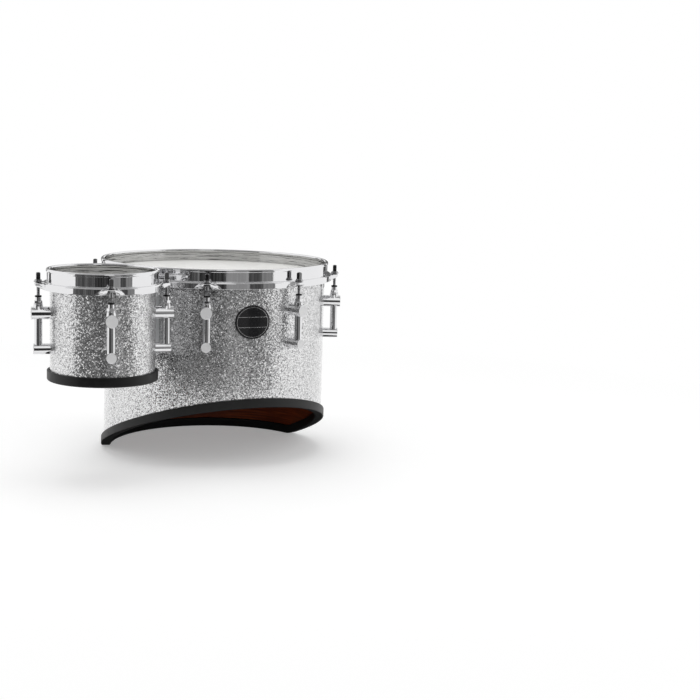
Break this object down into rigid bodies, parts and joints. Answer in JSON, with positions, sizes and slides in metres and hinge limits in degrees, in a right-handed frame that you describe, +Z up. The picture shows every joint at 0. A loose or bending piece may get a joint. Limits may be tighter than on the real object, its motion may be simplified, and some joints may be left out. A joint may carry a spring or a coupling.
{
  "type": "marching tenor drums",
  "caption": "Marching tenor drums: a small drum bolted ahead of a large drum whose lower edge is cut on a slant, with glitter covering, chrome counterhoops and tube lugs.",
  "frame": {"origin": "centre of the large drum's playing surface, the upper face of its head", "axes": "+Z up out of the head, along the drum's axis; -Y to the front, away from the player; +X to the right as seen from the front"},
  "size_m": [0.466, 0.574, 0.3158],
  "materials": {
    "chrome_plate": "polished chrome plate",
    "satin_steel": "bright nickel plate",
    "glitter_covering": "silver glitter under clear plastic",
    "maple_ply": "red-brown stain, satin",
    "black_rubber": "matt",
    "head_film": "smooth white film",
    "hoop_aluminium": "plain extruded",
    "satin_aluminium": "satin",
    "black_plate": "black enamel"
  },
  "bodies": {
    "drums": {"large_shell": "maple_ply", "large_glitter_wrap": "glitter_covering", "large_edge_trim": "black_rubber", "large_badge": "black_plate", "large_lug_1": "chrome_plate", "large_lug_2": "chrome_plate", "large_lug_3": "chrome_plate", "large_lug_4": "chrome_plate", "large_lug_5": "chrome_plate", "large_lug_6": "chrome_plate", "large_lug_7": "chrome_plate", "large_lug_8": "chrome_plate", "large_nut_1": "chrome_plate", "large_nut_2": "chrome_plate", "large_nut_3": "chrome_plate", "large_nut_4": "chrome_plate", "large_nut_5": "chrome_plate", "large_nut_6": "chrome_plate", "large_nut_7": "chrome_plate", "large_nut_8": "chrome_plate", "small_shell": "maple_ply", "small_glitter_wrap": "glitter_covering", "small_edge_trim": "black_rubber", "small_lug_1": "chrome_plate", "small_lug_2": "chrome_plate", "small_lug_3": "chrome_plate", "small_lug_4": "chrome_plate", "small_nut_1": "chrome_plate", "small_nut_2": "chrome_plate", "small_nut_3": "chrome_plate", "small_nut_4": "chrome_plate", "shell_spacer": "satin_aluminium", "spacer_bolt_upper": "satin_steel", "spacer_bolt_lower": "satin_steel", "spacer_nut_upper": "satin_steel", "spacer_nut_lower": "satin_steel", "carrier_bracket": "satin_aluminium", "bracket_screw_upper": "satin_steel", "bracket_screw_lower": "satin_steel", "receiver_screw_left": "satin_steel", "receiver_screw_right": "satin_steel"},
    "large_hoop_and_head": {"large_hoop": "chrome_plate", "large_flesh_hoop": "hoop_aluminium", "large_batter_head": "head_film"},
    "large_rod_1": {"large_rod_1": "satin_steel"},
    "large_rod_2": {"large_rod_2": "satin_steel"},
    "large_rod_3": {"large_rod_3": "satin_steel"},
    "large_rod_4": {"large_rod_4": "satin_steel"},
    "large_rod_5": {"large_rod_5": "satin_steel"},
    "large_rod_6": {"large_rod_6": "satin_steel"},
    "large_rod_7": {"large_rod_7": "satin_steel"},
    "large_rod_8": {"large_rod_8": "satin_steel"},
    "small_hoop_and_head": {"small_hoop": "chrome_plate", "small_flesh_hoop": "hoop_aluminium", "small_batter_head": "head_film"},
    "small_rod_1": {"small_rod_1": "satin_steel"},
    "small_rod_2": {"small_rod_2": "satin_steel"},
    "small_rod_3": {"small_rod_3": "satin_steel"},
    "small_rod_4": {"small_rod_4": "satin_steel"}
  },
  "joints": [
    {"name": "large_hoop_travel", "type": "slide", "parent": "drums", "child": "large_hoop_and_head", "axis": [0, 0, 1], "range_m": [0, 0.004]},
    {"name": "small_hoop_travel", "type": "slide", "parent": "drums", "child": "small_hoop_and_head", "axis": [0, 0, 1], "range_m": [0, 0.004]},
    {"name": "large_rod_1_turn", "type": "hinge", "parent": "large_hoop_and_head", "child": "large_rod_1", "pos_m": [-0.01016, -0.19378, 0], "axis": [0, 0, 1], "range_deg": [0, 1365]},
    {"name": "large_rod_2_turn", "type": "hinge", "parent": "large_hoop_and_head", "child": "large_rod_2", "pos_m": [0.12984, -0.14421, 0], "axis": [0, 0, 1], "range_deg": [0, 1365]},
    {"name": "large_rod_3_turn", "type": "hinge", "parent": "large_hoop_and_head", "child": "large_rod_3", "pos_m": [0.19378, -0.01016, 0], "axis": [0, 0, 1], "range_deg": [0, 1365]},
    {"name": "large_rod_4_turn", "type": "hinge", "parent": "large_hoop_and_head", "child": "large_rod_4", "pos_m": [0.14421, 0.12984, 0], "axis": [0, 0, 1], "range_deg": [0, 1365]},
    {"name": "large_rod_5_turn", "type": "hinge", "parent": "large_hoop_and_head", "child": "large_rod_5", "pos_m": [0.01016, 0.19378, 0], "axis": [0, 0, 1], "range_deg": [0, 1365]},
    {"name": "large_rod_6_turn", "type": "hinge", "parent": "large_hoop_and_head", "child": "large_rod_6", "pos_m": [-0.12984, 0.14421, 0], "axis": [0, 0, 1], "range_deg": [0, 1365]},
    {"name": "large_rod_7_turn", "type": "hinge", "parent": "large_hoop_and_head", "child": "large_rod_7", "pos_m": [-0.19378, 0.01016, 0], "axis": [0, 0, 1], "range_deg": [0, 1365]},
    {"name": "large_rod_8_turn", "type": "hinge", "parent": "large_hoop_and_head", "child": "large_rod_8", "pos_m": [-0.14421, -0.12984, 0], "axis": [0, 0, 1], "range_deg": [0, 1365]},
    {"name": "small_rod_1_turn", "type": "hinge", "parent": "small_hoop_and_head", "child": "small_rod_1", "pos_m": [-0.14077, -0.34166, 0.0048], "axis": [0, 0, 1], "range_deg": [0, 1365]},
    {"name": "small_rod_2_turn", "type": "hinge", "parent": "small_hoop_and_head", "child": "small_rod_2", "pos_m": [-0.06879, -0.23251, 0.0048], "axis": [0, 0, 1], "range_deg": [0, 1365]},
    {"name": "small_rod_3_turn", "type": "hinge", "parent": "small_hoop_and_head", "child": "small_rod_3", "pos_m": [-0.17794, -0.16054, 0.0048], "axis": [0, 0, 1], "range_deg": [0, 1365]},
    {"name": "small_rod_4_turn", "type": "hinge", "parent": "small_hoop_and_head", "child": "small_rod_4", "pos_m": [-0.24992, -0.26969, 0.0048], "axis": [0, 0, 1], "range_deg": [0, 1365]}
  ],
  "couplings": [
    {"joint": "large_rod_1_turn", "follows": "large_hoop_travel", "rad_per_m": 5937},
    {"joint": "large_rod_2_turn", "follows": "large_hoop_travel", "rad_per_m": 5937},
    {"joint": "large_rod_3_turn", "follows": "large_hoop_travel", "rad_per_m": 5937},
    {"joint": "large_rod_4_turn", "follows": "large_hoop_travel", "rad_per_m": 5937},
    {"joint": "large_rod_5_turn", "follows": "large_hoop_travel", "rad_per_m": 5937},
    {"joint": "large_rod_6_turn", "follows": "large_hoop_travel", "rad_per_m": 5937},
    {"joint": "large_rod_7_turn", "follows": "large_hoop_travel", "rad_per_m": 5937},
    {"joint": "large_rod_8_turn", "follows": "large_hoop_travel", "rad_per_m": 5937},
    {"joint": "small_rod_1_turn", "follows": "small_hoop_travel", "rad_per_m": 5937},
    {"joint": "small_rod_2_turn", "follows": "small_hoop_travel", "rad_per_m": 5937},
    {"joint": "small_rod_3_turn", "follows": "small_hoop_travel", "rad_per_m": 5937},
    {"joint": "small_rod_4_turn", "follows": "small_hoop_travel", "rad_per_m": 5937}
  ]
}
